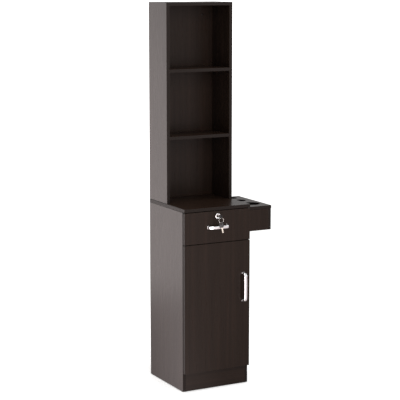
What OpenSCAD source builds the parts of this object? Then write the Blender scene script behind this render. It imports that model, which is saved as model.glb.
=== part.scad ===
/* [Station] */
// Height from the floor to the top of the shelf tower
station_h = 1750; // [1650:5:1850]
// Width of the cabinet and of the tower above it
base_w = 337; // [320:1:380]
// Depth from the faces of the drawer and door to the wall
station_d = 349; // [345:1:390]
// Height of the countertop above the floor
counter_h = 844; // [800:1:900]
// Thickness of the melamine boards
board_t = 15; // [15:0.5:17]
// Thickness of the hardboard back and of the drawer bottom
sheet_t = 3; // [2.5:0.5:4]
// Depth of the grooves that hold those thin sheets
groove_d = 5; // [4:0.5:6]

/* [Tower] */
// Depth of the shelf tower
tower_d = 179; // [160:1:220]
// Height of the lower shelf above the countertop
lower_shelf_up = 306; // [250:1:330]
// Height of the upper shelf above the countertop
upper_shelf_up = 609; // [560:1:650]
// Distance between the two wall screw holes of each row
wall_hole_gap = 200; // [150:5:220]
// Radius of the wall screw holes
wall_hole_r = 3; // [2.5:0.25:4]
// Distance of the upper wall holes below the top panel
wall_hole_drop = 45; // [35:1:80]

/* [Cabinet] */
// Height of the plinth up to the underside of the bottom panel
plinth_h = 85; // [70:1:100]
// Depth of the rail between the drawer and the door
rail_d = 80; // [70:1:100]
// Height of the rear rail under the countertop
rear_rail_h = 80; // [70:1:90]
// Distance of the hardboard back from the wall
back_inset = 10; // [8:0.5:12]
// Height of the loose shelf above the bottom panel
shelf_up = 285; // [240:1:320]
// Setback of the loose shelf behind the front of the side panels
shelf_setback = 20; // [15:1:40]
// Radius of the shelf pins
shelf_pin_r = 2.5; // [2:0.25:3]
// Distance between the shelf pin holes in a row
pin_pitch = 32; // [25:1:40]
// Distance of those rows from the front edge and from the hardboard back
shelf_pin_in = 50; // [45:1:70]
// Thickness of the nailed floor glides
glide_h = 2.5; // [2:0.5:4]
// Radius of the floor glides
glide_r = 6; // [5:0.5:7]
// Distance of the floor glides from the edges of the side panels
glide_in = 16; // [12:1:30]

/* [Fronts] */
// Gap between the fronts and the cabinet behind them
front_gap = 3; // [2.9:0.1:3.5]
// Gap between the drawer front, the door and the countertop
front_reveal = 3; // [2:0.5:4]
// Distance of the fronts from the outer faces of the sides
side_reveal = 1; // [0.5:0.5:1.5]
// Height of the drawer front
drawer_front_h = 144; // [140:1:150]
// Radius of the rubber bumpers behind the fronts
bumper_r = 4; // [3:0.5:5]

/* [Tool holder] */
// Width of the tool holder beside the cabinet
holder_w = 123; // [110:1:140]
// Depth of the tool holder
holder_d = 304; // [290:1:315]
// Height of the tool holder
holder_h = 113; // [90:1:120]
// Distance of the holder top below the underside of the countertop
holder_drop = 2.5; // [1:0.5:4]
// Overhang of the holder top over its outer side
holder_lip = 2; // [1:0.5:4]
// Radius of the front hole for a hair dryer
dryer_hole_r = 38; // [30:0.5:40]
// Radius of the two rear holes for irons and clippers
iron_hole_r = 25; // [20:0.5:28]
// Distance of the hole centres from the side of the cabinet
hole_out = 64; // [60:0.5:66]
// Distance of the dryer hole from the front of the holder
dryer_hole_back = 79; // [70:1:82]
// Distance of the middle hole from the front of the holder
middle_hole_back = 182; // [170:1:190]
// Distance of the rear hole from the front of the holder
rear_hole_back = 265; // [250:1:268]

/* [Drawer] */
// Depth of the drawer box behind its front
drawer_box_d = 300; // [270:5:305]
// Height of the drawer sides
drawer_side_h = 90; // [80:1:95]
// Thickness of the drawer sides and of its back board
drawer_side_t = 12; // [12:0.5:14]
// Height of the drawer sides above the lower edge of the drawer front
drawer_up = 16; // [15:0.5:18]
// Height of the drawer bottom above the lower edge of the drawer sides
drawer_bottom_up = 8; // [7:0.5:12]
// Room for a runner between a drawer side and the cabinet side
runner_room = 12.5; // [12.5:0.25:13.5]
// Length of the runners
runner_l = 290; // [250:5:295]
// Sheet thickness of the runners
runner_t = 1.2; // [1:0.1:1.4]
// Radius of the runner rollers
roller_r = 9; // [8:0.25:9.5]
// Width of the runner rollers
roller_w = 7.5; // [6:0.25:8]
// Radius of the roller rivets
rivet_r = 2; // [1.5:0.25:2.5]

/* [Handles] */
// Distance between the screws of the drawer handle
drawer_handle_c = 96; // [64:1:128]
// Distance between the screws of the door handle
door_handle_c = 128; // [96:1:192]
// Height of the door handle's centre above the floor
door_handle_z = 463; // [300:1:550]
// Distance of the door handle from the free edge of the door
door_handle_in = 33; // [28:1:50]
// Distance that the handles stand out from the fronts
handle_reach = 26; // [24:0.5:32]
// Width of the handle bar
handle_w = 14; // [11:0.5:15]
// Thickness of the handle bar
handle_t = 8; // [7:0.5:9]
// Radius of the bends at the ends of the handle bar
handle_bend_r = 15; // [12:0.5:16]
// Angle that each half of the bar is bowed by
handle_bow = 2; // [1:0.5:8]
// Radius of the handle screws
handle_screw_r = 2; // [1.5:0.25:2.5]

/* [Lock and keys] */
// Height of the lock's centre below the top edge of the drawer front
lock_drop = 24; // [22:0.5:27]
// Radius of the lock body
lock_r = 9.5; // [9:0.25:10]
// Radius of the bright bezel round the lock
bezel_r = 12.5; // [12:0.25:13.5]
// Thickness of the bezel
bezel_t = 3.2; // [2.5:0.1:4]
// Radius of the turning plug
plug_r = 6.3; // [6:0.1:6.5]
// Length of the cam from the lock's axis to its tip
cam_reach = 24; // [23:0.25:25]
// Thickness of the keys' metal
key_t = 2; // [1.6:0.1:2.2]
// Width of a key's blade
blade_w = 6.4; // [5.6:0.1:6.8]
// Length of a key's blade from its shoulder to its tip
blade_l = 17; // [16:0.5:20]
// Thickness of a key's plastic head
head_t = 2.4; // [2.4:0.1:2.8]
// Width of a key's head
head_w = 17; // [16:0.5:20]
// Length of a key's head
head_l = 27; // [24:0.5:29]
// Length of bare metal between a key's shoulder and its head
neck_l = 7; // [6:0.5:8]
// Radius of the hole in a key's head
key_hole_r = 4.5; // [4.3:0.1:4.7]
// Radius of the key ring's centre line
ring_r = 11.5; // [11:0.1:12.5]
// Radius of the key ring's wire
ring_wire_r = 0.65; // [0.5:0.05:0.7]
// Angle between the spare key and the front
spare_turn = 40; // [30:1:50]
// Angle that the spare key hangs off the plumb line
spare_tilt = 12; // [0:1:15]

/* [Hinges and catch] */
// Distance of the hinge centres from the ends of the door
hinge_in = 90; // [70:1:130]
// Distance of the hinge pin from the hinge edge of the door
pin_in = 6.5; // [6.3:0.1:6.7]
// Distance of the hinge pin behind the face of the door
pin_deep = 7.2; // [7:0.1:7.4]
// Radius of the hinge pins
hinge_pin_r = 1.25; // [1:0.05:1.4]
// Radius of the hinge cups
cup_r = 17.5; // [17:0.1:17.5]
// Depth of the hinge cups in the door
cup_d = 11.5; // [11.2:0.1:11.6]
// Radius of the curved neck of the hinge arms
neck_r = 15.5; // [15:0.25:16]
// Width of the curved neck of the hinge arms
arm_w = 10; // [8:0.5:10]
// Length of the magnetic catch
catch_l = 46; // [36:1:56]

/* [Fittings] */
// Radius of the wooden dowels
dowel_r = 4; // [3:0.5:4]
// Depth of a dowel in the face of a board
dowel_face = 10; // [8:0.5:11]
// Depth of a dowel in the end of a board
dowel_end = 20; // [16:1:22]
// Radius of the cam discs
disc_r = 7.5; // [6:0.25:8]
// Thickness of the cam discs
disc_h = 12; // [10.5:0.25:12.5]
// Distance of the cam discs from the ends of a board
disc_in = 24; // [22:1:34]
// Radius of the threaded end of the cam bolts
thread_r = 2.5; // [2:0.25:3]
// Depth of that thread in a side panel
thread_l = 11; // [9:0.5:12]
// Distance of the cam fittings from the edges of a board
fitting_in = 20; // [18:1:30]
// Distance of the dowels from the edges of the deep and tall boards
dowel_in = 50; // [40:1:60]
// Distance of the dowels from the edges of the narrow boards
narrow_dowel_in = 22; // [18:1:24]
// Radius of the dowels in the drawer box
box_dowel_r = 3; // [2:0.25:3.5]
// Depth of those dowels in the drawer front and sides
box_dowel_face = 8; // [6:0.5:9]
// Depth of those dowels in the ends of the drawer box boards
box_dowel_end = 20; // [15:1:25]
// Distance of those dowels from the upper edge and from the drawer bottom
box_dowel_in = 15; // [12:0.5:18]

/* [Hidden] */
$fn = 48;

// Colours seen in the photograph
espresso = [0.20, 0.16, 0.145];
espresso_side = [0.23, 0.19, 0.17];
hardboard = [0.30, 0.22, 0.16];
zinc = [0.72, 0.72, 0.74];
chrome = [0.86, 0.86, 0.88];
nylon = [0.92, 0.92, 0.90];
black_plastic = [0.05, 0.05, 0.06];
beech = [0.78, 0.62, 0.42];

// Small clearances, written once
slip = 0.05;
touch = 0.3;
loose = 1;
bore_play = 0.1;
cut = 1;

// Levels, counted from the floor
counter_z = counter_h - board_t;
floor_z = plinth_h + board_t;
door_z0 = plinth_h + front_reveal;
drawer_front_z1 = counter_z - front_reveal;
drawer_front_z0 = drawer_front_z1 - drawer_front_h;
door_z1 = drawer_front_z0 - front_reveal;
rail_z = (door_z1 + drawer_front_z0 - board_t) / 2;
shelf_z = floor_z + shelf_up;
back_top_z = counter_z - rear_rail_h + groove_d;
drawer_z = drawer_front_z0 + drawer_up;
tower_top_z = station_h - board_t;
upper_shelf_z = counter_h + upper_shelf_up - board_t;
lower_shelf_z = counter_h + lower_shelf_up - board_t;
holder_z1 = counter_z - holder_drop;
holder_z0 = holder_z1 - holder_h;
lock_z = drawer_front_z1 - lock_drop;
drawer_handle_z = (drawer_front_z0 + drawer_front_z1) / 2;

// Depths, counted from the faces of the fronts
front_t = board_t;
carcass_y = front_t + front_gap;
wall_y = station_d;
tower_y = wall_y - tower_d;
tower_back_y = wall_y - board_t;
rear_rail_y = wall_y - board_t;
back_y = wall_y - back_inset - sheet_t;
box_y1 = front_t + drawer_box_d;
holder_y1 = carcass_y + holder_d;

// Widths, counted from the left face
in_x0 = board_t;
in_x1 = base_w - board_t;
front_x0 = side_reveal;
front_x1 = base_w - side_reveal;
box_x0 = in_x0 + runner_room;
box_x1 = in_x1 - runner_room;
holder_x1 = base_w + holder_w;
holder_side_x = holder_x1 - holder_lip - board_t;
lock_x = base_w / 2;
hole_x = base_w + hole_out;

// Keys, their ring and how far they stand out
head_end = 2.8;
hole_to_end = key_hole_r + head_end;
spare_half_y = head_w / 2 * sin(spare_turn) + head_t / 2 * cos(spare_turn);
ring_y = -handle_reach - touch - spare_half_y;
head_y0 = ring_y - hole_to_end + head_l;
ring_play = 0.9;
ring_z = lock_z - key_hole_r + ring_play + ring_wire_r - ring_r;
wire_side = head_t / 2 / tan(spare_turn) + ring_wire_r / sin(spare_turn);
spare_hole_drop = sqrt(pow(key_hole_r, 2) - pow(wire_side, 2)) - ring_wire_r - 2 * touch;
spare_hole_z = ring_z - ring_r - spare_hole_drop;
front_reach = hole_to_end - ring_y;

// The origin lies on the floor under the middle of the whole outline
origin_x = -holder_x1 / 2;
origin_y = (front_reach - station_d) / 2;
module station() translate([origin_x, origin_y, 0]) children();

module block(a, b) translate(a) cube(b - a);
module at_front(x, z) translate([x, 0, z]) rotate([90, 0, 0]) children();
module mirrored_sides() {
    children();
    translate([base_w, 0, 0]) mirror([1, 0, 0]) children();
}

// Section with rounded corners, centred
module round_rect(w, h, r) {
    square([w - 2 * r, h], center = true);
    square([w, h - 2 * r], center = true);
    for (x = [r - w / 2, w / 2 - r], y = [r - h / 2, h / 2 - r]) translate([x, y]) circle(r);
}

// Dowels: each has a point on the joint and the turn that aims it into a board's end
to_right = [0, 90, 0];
to_left = [0, -90, 0];
to_up = [0, 0, 0];
to_down = [180, 0, 0];
side_mid_x = [board_t / 2, base_w - board_t / 2];
counter_pegs = [
    for (x = side_mid_x, y = [carcass_y + dowel_in, wall_y - dowel_in]) [[x, y, counter_z], to_down]
];
plinth_pegs = [
    for (z = [glide_h + narrow_dowel_in, plinth_h - narrow_dowel_in], s = [0, 1])
        [[s ? in_x1 : in_x0, carcass_y + board_t / 2, z], s ? to_left : to_right]
];
rail_pegs = [
    for (z = [counter_z - rear_rail_h + narrow_dowel_in, counter_z - narrow_dowel_in], s = [0, 1])
        [[s ? in_x1 : in_x0, rear_rail_y + board_t / 2, z], s ? to_left : to_right]
];
base_pegs = concat(counter_pegs, plinth_pegs, rail_pegs);
stand_pegs = [
    for (x = side_mid_x, y = [tower_y + narrow_dowel_in, wall_y - narrow_dowel_in])
        [[x, y, counter_h], to_up]
];
tower_back_pegs = [
    for (z = [counter_h + dowel_in, (counter_h + tower_top_z) / 2, tower_top_z - dowel_in], s = [0, 1])
        [[s ? in_x1 : in_x0, tower_back_y + board_t / 2, z], s ? to_left : to_right]
];
tower_pegs = concat(stand_pegs, tower_back_pegs);
holder_peg_y = [carcass_y + board_t / 2, holder_y1 - board_t / 2];
holder_peg_z = [holder_z0 + narrow_dowel_in, holder_z1 - board_t - narrow_dowel_in];
holder_top_peg_y = [carcass_y + narrow_dowel_in, holder_y1 - dowel_in];
holder_pegs = concat(
    [for (y = holder_peg_y, z = holder_peg_z) [[base_w, y, z], to_right]],
    [for (y = holder_peg_y, z = holder_peg_z) [[holder_side_x, y, z], to_left]],
    [for (y = holder_top_peg_y) [[base_w, y, holder_z1 - board_t / 2], to_right]]
);
box_peg_z = [
    drawer_z + drawer_bottom_up + sheet_t + box_dowel_in, drawer_z + drawer_side_h - box_dowel_in
];
box_side_mid_x = [box_x0 + drawer_side_t / 2, box_x1 - drawer_side_t / 2];

module pegs(list, r = dowel_r, extra = 0) {
    for (p = list) translate(p[0]) rotate(p[1]) translate([0, 0, -dowel_face - extra])
        cylinder(r = r, h = dowel_face + dowel_end + 2 * extra);
}
module peg_bores(list) pegs(list, dowel_r + bore_play, 0.5);

// Cam fittings: every shelf-like board has them near its edges, at both ends
function fitting_ys(y0, y1) = [y0 + fitting_in, y1 - fitting_in];
bottom_ys = fitting_ys(carcass_y, back_y);
rail_ys = fitting_ys(carcass_y, carcass_y + rail_d);
shelf_ys = fitting_ys(tower_y, tower_back_y);
fitted_boards = [
    [plinth_h, bottom_ys], [rail_z, rail_ys], [lower_shelf_z, shelf_ys],
    [upper_shelf_z, shelf_ys], [tower_top_z, shelf_ys]
];
shank_r = 3;
bolt_head_r = 3.6;
module at_fittings(z, ys) {
    for (y = ys) {
        translate([in_x0, y, z + board_t / 2]) children();
        translate([in_x1, y, z + board_t / 2]) rotate([0, 0, 180]) children();
    }
}
module thread_bores(z, ys) {
    at_fittings(z, ys) translate([-thread_l - 0.5, 0, 0]) rotate([0, 90, 0])
        cylinder(r = thread_r + slip, h = thread_l + cut);
}
module disc_pockets(z, ys) {
    at_fittings(z, ys) {
        translate([disc_in, 0, -board_t / 2 - cut]) cylinder(r = disc_r + bore_play, h = disc_h + cut);
        translate([-cut, 0, 0]) rotate([0, 90, 0])
            cylinder(r = bolt_head_r + bore_play, h = disc_in + cut);
    }
}
module cam_discs() color(zinc) station() {
    for (f = fitted_boards) at_fittings(f[0], f[1]) difference() {
        translate([disc_in, 0, -board_t / 2]) cylinder(r = disc_r, h = disc_h);
        rotate([0, 90, 0]) cylinder(r = bolt_head_r + bore_play, h = disc_in + 2.5);
        translate([disc_in, 0, -board_t / 2 - cut]) {
            translate([-4.5, -0.8, 0]) cube([9, 1.6, 2.6]);
            translate([-0.8, -4.5, 0]) cube([1.6, 9, 2.6]);
        }
    }
}
module cam_bolts() color(zinc) station() {
    for (f = fitted_boards) at_fittings(f[0], f[1]) rotate([0, 90, 0]) {
        translate([0, 0, -thread_l]) cylinder(r = thread_r, h = thread_l);
        cylinder(r = shank_r, h = disc_in - 4);
        translate([0, 0, disc_in - 4]) cylinder(r = 2, h = 3);
        translate([0, 0, disc_in - 1]) cylinder(r = bolt_head_r, h = 3);
    }
}
module wood_dowels() color(beech) station() {
    pegs(base_pegs);
    pegs(tower_pegs);
    pegs(holder_pegs);
}

// Cabinet
glide_spots = [for (x = side_mid_x, y = [carcass_y + glide_in, wall_y - glide_in]) [x, y]];
nail_l = 14;
nail_r = 1.2;
module floor_glides() color(black_plastic) station() {
    for (s = glide_spots) translate(s) {
        rotate_extrude() polygon([
            [0, 0], [glide_r - 1, 0], [glide_r, 0.8], [glide_r, glide_h],
            [nail_r, glide_h], [nail_r, glide_h + nail_l], [0, glide_h + nail_l]
        ]);
    }
}
module glide_bores() {
    for (s = glide_spots) translate([s.x, s.y, 0]) cylinder(r = nail_r + slip, h = glide_h + nail_l + 0.5);
}
pin_l = 16;
pin_in_board = 8;
pin_ys = [carcass_y + shelf_pin_in, back_y - shelf_pin_in];
module shelf_pin_bores() {
    for (y = pin_ys, k = [-1 : 1])
        translate([in_x0 - pin_in_board - 0.5, y, shelf_z - shelf_pin_r + k * pin_pitch])
            rotate([0, 90, 0]) cylinder(r = shelf_pin_r + slip, h = pin_in_board + cut);
}
module side_blank() {
    difference() {
        block([0, carcass_y, glide_h], [board_t, wall_y, counter_z]);
        block(
            [in_x0 - groove_d, back_y - slip, plinth_h],
            [in_x0 + cut, back_y + sheet_t + slip, back_top_z + slip]);
        shelf_pin_bores();
    }
}
module base_left_panel() color(espresso_side) station() difference() {
    side_blank();
    glide_bores();
    peg_bores(base_pegs);
    thread_bores(plinth_h, bottom_ys);
    thread_bores(rail_z, rail_ys);
}
module base_right_panel() color(espresso_side) station() difference() {
    translate([base_w, 0, 0]) mirror([1, 0, 0]) side_blank();
    glide_bores();
    peg_bores(base_pegs);
    peg_bores(holder_pegs);
    thread_bores(plinth_h, bottom_ys);
    thread_bores(rail_z, rail_ys);
}
module base_bottom_panel() color(espresso) station() difference() {
    block([in_x0, carcass_y, plinth_h], [in_x1, back_y, floor_z]);
    disc_pockets(plinth_h, bottom_ys);
}
module plinth_board() color(espresso) station() difference() {
    block([in_x0, carcass_y, glide_h], [in_x1, carcass_y + board_t, plinth_h]);
    peg_bores(plinth_pegs);
}
module base_back_panel() color(hardboard) station() block(
    [in_x0 - groove_d + 0.5, back_y, plinth_h],
    [in_x1 + groove_d - 0.5, back_y + sheet_t, back_top_z - 0.5]);
module divider_rail() color(espresso) station() difference() {
    block([in_x0, carcass_y, rail_z], [in_x1, carcass_y + rail_d, rail_z + board_t]);
    disc_pockets(rail_z, rail_ys);
}
wall_hole_x = [lock_x - wall_hole_gap / 2, lock_x + wall_hole_gap / 2];
module wall_holes(z) {
    for (x = wall_hole_x) translate([x, wall_y + cut, z]) rotate([90, 0, 0])
        cylinder(r = wall_hole_r, h = board_t + 2 * cut);
}
module base_rear_rail() color(espresso) station() difference() {
    block([in_x0, rear_rail_y, counter_z - rear_rail_h], [in_x1, wall_y, counter_z]);
    block(
        [in_x0 - cut, back_y - slip, counter_z - rear_rail_h - cut],
        [in_x1 + cut, back_y + sheet_t + slip, back_top_z + slip]);
    peg_bores(rail_pegs);
    wall_holes(counter_z - rear_rail_h / 2);
}
module cabinet_shelf() color(espresso) station() block(
    [in_x0 + loose, carcass_y + shelf_setback, shelf_z],
    [in_x1 - loose, back_y - 2 * loose, shelf_z + board_t]);
module shelf_pins() color(zinc) station() mirrored_sides() {
    for (y = pin_ys) translate([in_x0 - pin_in_board, y, shelf_z - shelf_pin_r]) rotate([0, 90, 0])
        cylinder(r = shelf_pin_r, h = pin_l);
}
module countertop() color(espresso) station() difference() {
    block([0, 0, counter_z], [base_w, wall_y, counter_h]);
    peg_bores(counter_pegs);
    peg_bores(stand_pegs);
}

// Tower
module tower_side(x) difference() {
    block([x, tower_y, counter_h], [x + board_t, wall_y, station_h]);
    peg_bores(tower_pegs);
    for (z = [lower_shelf_z, upper_shelf_z, tower_top_z]) thread_bores(z, shelf_ys);
}
module tower_left_panel() color(espresso_side) station() tower_side(0);
module tower_right_panel() color(espresso_side) station() tower_side(in_x1);
module tower_board(z, y1) difference() {
    block([in_x0, tower_y, z], [in_x1, y1, z + board_t]);
    disc_pockets(z, shelf_ys);
}
module tower_top_panel() color(espresso) station() tower_board(tower_top_z, wall_y);
module tower_upper_shelf() color(espresso) station() tower_board(upper_shelf_z, tower_back_y);
module tower_lower_shelf() color(espresso) station() tower_board(lower_shelf_z, tower_back_y);
module tower_back_panel() color(espresso) station() difference() {
    block([in_x0, tower_back_y, counter_h], [in_x1, wall_y, tower_top_z]);
    peg_bores(tower_back_pegs);
    wall_holes(tower_top_z - wall_hole_drop);
}

// Tool holder
module tool_hole(back, r) translate([hole_x, carcass_y + back, holder_z1 - board_t - cut])
    cylinder(r = r, h = board_t + 2 * cut, $fn = 96);
module holder_top() color(espresso) station() difference() {
    block([base_w, carcass_y, holder_z1 - board_t], [holder_x1, holder_y1, holder_z1]);
    tool_hole(dryer_hole_back, dryer_hole_r);
    tool_hole(middle_hole_back, iron_hole_r);
    tool_hole(rear_hole_back, iron_hole_r);
    peg_bores(holder_pegs);
}
module holder_board(y) difference() {
    block([base_w, y, holder_z0], [holder_side_x, y + board_t, holder_z1 - board_t]);
    peg_bores(holder_pegs);
}
module holder_front() color(espresso) station() holder_board(carcass_y);
module holder_back() color(espresso) station() holder_board(holder_y1 - board_t);
module holder_outer_side() color(espresso_side) station() difference() {
    block(
        [holder_side_x, carcass_y, holder_z0],
        [holder_side_x + board_t, holder_y1, holder_z1 - board_t]);
    peg_bores(holder_pegs);
}

// Drawer box
box_dowel_pegs = concat(
    [for (x = box_side_mid_x, z = box_peg_z) [[x, front_t, z], [-90, 0, 0]]],
    [for (z = box_peg_z, s = [0, 1])
        [[s ? box_x1 - drawer_side_t : box_x0 + drawer_side_t, box_y1 - drawer_side_t / 2, z],
         s ? to_left : to_right]]
);
module box_pegs(r, extra) {
    for (p = box_dowel_pegs) translate(p[0]) rotate(p[1]) translate([0, 0, -box_dowel_face - extra])
        cylinder(r = r, h = box_dowel_face + box_dowel_end + 2 * extra);
}
module box_bores() box_pegs(box_dowel_r + bore_play, 0.5);
module drawer_dowels() color(beech) station() box_pegs(box_dowel_r, 0);
sheet_z = drawer_z + drawer_bottom_up;
module sheet_slot() block(
    [box_x0 + drawer_side_t - groove_d, front_t - groove_d, sheet_z - slip],
    [box_x1 - drawer_side_t + groove_d, box_y1 - drawer_side_t + groove_d, sheet_z + sheet_t + slip]);
module drawer_side(x) difference() {
    block([x, front_t, drawer_z], [x + drawer_side_t, box_y1, drawer_z + drawer_side_h]);
    sheet_slot();
    box_bores();
}
module drawer_left_side() color(espresso) station() drawer_side(box_x0);
module drawer_right_side() color(espresso) station() drawer_side(box_x1 - drawer_side_t);
module drawer_back_board() color(espresso) station() difference() {
    block(
        [box_x0 + drawer_side_t, box_y1 - drawer_side_t, drawer_z],
        [box_x1 - drawer_side_t, box_y1, drawer_z + drawer_side_h]);
    sheet_slot();
    box_bores();
}
module drawer_bottom() color(hardboard) station() block(
    [box_x0 + drawer_side_t - groove_d + 0.5, front_t - groove_d + 0.5, sheet_z],
    [box_x1 - drawer_side_t + groove_d - 0.5, box_y1 - drawer_side_t + groove_d - 0.5, sheet_z + sheet_t]);
module handle_holes(x, z, c, upright) {
    for (s = [-1, 1]) translate([x + (upright ? 0 : s * c / 2), -cut, z + (upright ? s * c / 2 : 0)])
        rotate([-90, 0, 0]) cylinder(r = handle_screw_r + 0.25, h = front_t + 2 * cut);
}
module drawer_front() color(espresso) station() difference() {
    block([front_x0, 0, drawer_front_z0], [front_x1, front_t, drawer_front_z1]);
    sheet_slot();
    box_bores();
    at_front(lock_x, lock_z) translate([0, 0, -front_t - cut])
        cylinder(r = lock_r + bore_play, h = front_t + 2 * cut);
    handle_holes(lock_x, drawer_handle_z, drawer_handle_c, false);
}
module bumper(x, z) translate([x, front_t, z]) rotate([-90, 0, 0])
    cylinder(r1 = bumper_r, r2 = bumper_r - 0.8, h = front_gap - touch);
module drawer_bumpers() color(black_plastic) station() {
    for (x = side_mid_x) bumper(x, drawer_front_z0 + 30);
}

// Roller runners: a channel on the cabinet side carries a roller at the front,
// and an angle under the drawer side carries one at the rear
runner_z = drawer_z - 8;
channel_in_h = 2 * roller_r + 2 * touch + 0.1;
channel_top_z = runner_z + runner_t + channel_in_h;
lip_z = channel_top_z + runner_t + 0.9;
channel_w = runner_room - runner_t - 1.1;
front_roller_y = carcass_y + 14;
front_roller_z = lip_z - touch - roller_r;
rear_roller_y = box_y1 - 10;
rear_roller_z = runner_z + runner_t + touch + roller_r;
roller_x = in_x0 + runner_t + 0.6;
runner_y0 = carcass_y + 2;
runner_y1 = runner_y0 + runner_l;
angle_x = box_x0 - runner_t;
module cabinet_runners() color(nylon) station() mirrored_sides() {
    difference() {
        union() {
            block([in_x0, runner_y0, runner_z], [in_x0 + runner_t, runner_y1, channel_top_z + 12]);
            block([in_x0, runner_y0, runner_z], [in_x0 + channel_w, runner_y1, runner_z + runner_t]);
            block(
                [in_x0, front_roller_y + roller_r + 5, channel_top_z],
                [in_x0 + channel_w, runner_y1, channel_top_z + runner_t]);
        }
        for (y = [60, runner_l / 2, runner_l - 30]) translate([in_x0 - cut, runner_y0 + y, channel_top_z + 7])
            rotate([0, 90, 0]) cylinder(r = 2.2, h = runner_t + 2 * cut);
    }
    translate([in_x0 + runner_t, front_roller_y, front_roller_z]) rotate([0, 90, 0])
        cylinder(r = rivet_r, h = roller_w + 1.4);
}
module roller(y, z) translate([roller_x, y, z]) rotate([0, 90, 0]) rotate_extrude() polygon([
    [rivet_r + slip, 0], [roller_r - 0.6, 0], [roller_r, 0.6], [roller_r, roller_w - 0.6],
    [roller_r - 0.6, roller_w], [rivet_r + slip, roller_w]
]);
module cabinet_rollers() color(nylon) station() mirrored_sides() roller(front_roller_y, front_roller_z);
module drawer_runners() color(nylon) station() mirrored_sides() {
    block([angle_x, front_t + cut, drawer_z - runner_t], [box_x0, box_y1, lip_z + runner_t]);
    block([box_x0, front_t + cut, drawer_z - runner_t], [box_x0 + drawer_side_t, box_y1, drawer_z]);
    block([in_x0 + runner_t + 0.8, front_t + 12, lip_z], [angle_x, box_y1 - 22, lip_z + runner_t]);
    translate([roller_x, rear_roller_y, rear_roller_z]) rotate([0, 90, 0])
        cylinder(r = rivet_r, h = angle_x - roller_x);
}
module drawer_rollers() color(nylon) station() mirrored_sides() roller(rear_roller_y, rear_roller_z);

// Bow handles: two posts end in bends, and a slightly bowed bar is set into them
handle_corner_r = 2.6;
corner_dirs = [[1, 1], [-1, 1], [-1, -1], [1, -1]];
foot_l = handle_t + 1;
foot_h = 1.5;
screw_depth = 8;
function soft_corners(w, h, r) = [
    for (k = [0 : 3], a = [0 : 30 : 90]) [
        corner_dirs[k].x * (w / 2 - r) + r * cos(90 * k + a),
        corner_dirs[k].y * (h / 2 - r) + r * sin(90 * k + a)
    ]
];
collar = 0.3;
splice = 1.5;
module handle_section() polygon(soft_corners(handle_t, handle_w, handle_corner_r));
module bar_section() polygon(soft_corners(
    handle_t - 2 * collar, handle_w - 2 * collar, handle_corner_r - collar));
module foot_section() polygon(soft_corners(foot_l, handle_w + 1, handle_corner_r));
module bow_handle(c) {
    bend = 90 - handle_bow;
    bar_r = (c / 2 - handle_bend_r * (1 - cos(bend))) / sin(handle_bow);
    post_l = handle_reach - handle_t / 2 - handle_bend_r * sin(bend) - bar_r * (1 - cos(handle_bow));
    bar_y = post_l + handle_bend_r * sin(bend) - bar_r * cos(handle_bow);
    half_bar = handle_bow + atan(splice / bar_r);
    difference() {
        union() {
            for (s = [0, 1]) mirror([s, 0, 0]) {
                translate([c / 2, 0, 0]) rotate([-90, 0, 0]) {
                    linear_extrude(post_l) handle_section();
                    linear_extrude(foot_h) foot_section();
                }
                translate([c / 2 - handle_bend_r, post_l, 0]) rotate_extrude(angle = bend)
                    translate([handle_bend_r, 0]) handle_section();
            }
            translate([0, bar_y, 0]) rotate([0, 0, 90 - half_bar])
                rotate_extrude(angle = 2 * half_bar, $fn = 720) translate([bar_r, 0]) bar_section();
        }
        for (s = [-1, 1]) translate([s * c / 2, -cut, 0]) rotate([-90, 0, 0])
            cylinder(r = handle_screw_r + slip, h = screw_depth + cut);
    }
}
module handle_screws(c) {
    for (s = [-1, 1]) translate([s * c / 2, 0, 0]) rotate([90, 0, 0]) {
        translate([0, 0, -screw_depth + 0.5]) cylinder(r = handle_screw_r, h = screw_depth - 0.5 + front_t);
        translate([0, 0, front_t]) cylinder(r1 = 4, r2 = 3, h = 2.4);
    }
}
module at_drawer_handle() translate([lock_x, 0, drawer_handle_z]) rotate([180, 0, 0]) children();
module at_door_handle() translate([front_x1 - door_handle_in, 0, door_handle_z]) rotate([180, 0, 0])
    rotate([0, 90, 0]) children();
module drawer_handle() color(chrome) station() at_drawer_handle() bow_handle(drawer_handle_c);
module drawer_handle_screws() color(zinc) station() at_drawer_handle() handle_screws(drawer_handle_c);
module door_handle() color(chrome) station() at_door_handle() bow_handle(door_handle_c);
module door_handle_screws() color(zinc) station() at_door_handle() handle_screws(door_handle_c);

// Cam lock, drawn on an axis that points out of the drawer front
lock_l = 20;
nut_h = 4;
nut_r = 13.6;
cam_t = 2;
cam_gap = 0.6;
cam_w = 14;
tail_w = 7;
tail_z = -lock_l - cam_gap;
cam_z = tail_z - cam_t;
plug_face = bezel_t - 1.2;
keyway_d = blade_l + 0.6;
module lock_housing() color(chrome) station() at_front(lock_x, lock_z) rotate_extrude($fn = 96) polygon([
    [plug_r + slip, -lock_l], [lock_r, -lock_l], [lock_r, 0], [bezel_r, 0], [bezel_r, bezel_t - 1.4],
    [bezel_r - 1.2, bezel_t], [plug_r + 2.4, bezel_t], [plug_r + slip, bezel_t - 1]
]);
module lock_nut() color(zinc) station() at_front(lock_x, lock_z) difference() {
    translate([0, 0, -front_t - nut_h]) linear_extrude(nut_h) circle(r = nut_r, $fn = 6);
    translate([0, 0, -front_t - nut_h - cut]) cylinder(r = lock_r + bore_play, h = nut_h + 2 * cut);
}
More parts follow.
